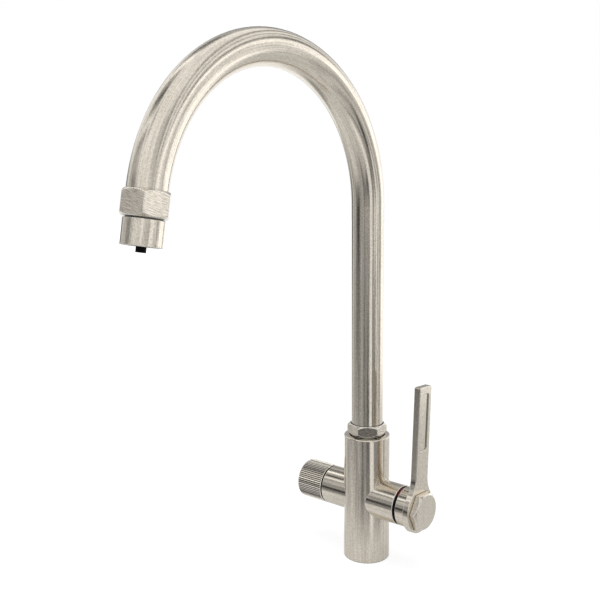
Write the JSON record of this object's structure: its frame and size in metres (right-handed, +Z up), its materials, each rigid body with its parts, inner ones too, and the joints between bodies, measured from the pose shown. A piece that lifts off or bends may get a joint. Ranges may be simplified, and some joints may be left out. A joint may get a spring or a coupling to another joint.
{
  "type": "kitchen mixer tap",
  "caption": "Tall kitchen sink mixer tap with a swivelling swan-neck spout, a spanner-shaped side lever, a knurled filtered-water knob and hexagon nuts.",
  "frame": {"origin": "centre of the body's underside, at the mouth of the fixing stud's hole", "axes": "+Z up along the body and the spout's column, -Y towards the outlet and the user, +X along the lever's branch"},
  "size_m": [0.1313, 0.2818, 0.4523],
  "materials": {
    "brushed_nickel": "satin, brushed along the part",
    "brass": "machined",
    "steel": "plain",
    "ceramic": "lapped",
    "rubber": "matte",
    "white_plastic": "matte",
    "black_plastic": "satin",
    "red_mark": "gloss",
    "blue_mark": "gloss"
  },
  "bodies": {
    "tap_body": {"body": "brushed_nickel", "base_seal": "rubber", "collar_nut": "brushed_nickel", "upper_slip_ring": "white_plastic", "lower_slip_ring": "white_plastic", "tube_connector": "brass", "swivel_o_ring": "rubber", "cartridge_seal": "rubber", "cartridge_base": "white_plastic", "mixer_fixed_disc": "ceramic", "cartridge_housing": "white_plastic", "cartridge_o_ring": "rubber", "cartridge_nut": "brass", "indicator_ring": "black_plastic", "hot_mark": "red_mark", "cold_mark": "blue_mark", "filter_seat_seal": "rubber", "filter_fixed_disc": "ceramic", "filter_valve_body": "brass", "filter_valve_o_ring": "rubber", "knob_slip_ring": "black_plastic"},
    "spout": {"spout_tube": "brushed_nickel", "spout_spigot": "brass", "spout_o_rings": "rubber", "filter_tube": "white_plastic", "tube_swivel": "brass", "outlet_adapter": "brass", "outlet_nut": "brushed_nickel", "outlet_washer": "rubber", "aerator_housing": "brushed_nickel", "aerator_screen": "steel", "aerator_insert": "black_plastic", "nozzle_stem": "brass", "filter_nozzle": "black_plastic"},
    "lever_handle": {"mixer_moving_disc": "ceramic", "mixer_spindle": "brass", "spindle_o_ring": "rubber", "lever_hub": "brushed_nickel", "lever": "brushed_nickel", "hex_cap": "brushed_nickel", "lever_screw": "steel"},
    "filter_knob": {"filter_moving_disc": "ceramic", "filter_spindle": "brass", "filter_spindle_o_ring": "rubber", "spindle_circlip": "steel", "knob_insert": "white_plastic", "knob": "brushed_nickel", "knob_grub_screw": "steel"}
  },
  "joints": [
    {"name": "spout_swivel", "type": "hinge", "parent": "tap_body", "child": "spout", "pos_m": [0, 0, 0.1142], "axis": [0, 0, 1], "continuous": true},
    {"name": "lever_turn", "type": "hinge", "parent": "tap_body", "child": "lever_handle", "pos_m": [0.0419, 0, 0.0572], "axis": [1, 0, 0], "range_deg": [0, 100]},
    {"name": "filter_knob_turn", "type": "hinge", "parent": "tap_body", "child": "filter_knob", "pos_m": [-0.0402, 0, 0.0572], "axis": [-1, 0, 0], "range_deg": [0, 90]}
  ]
}
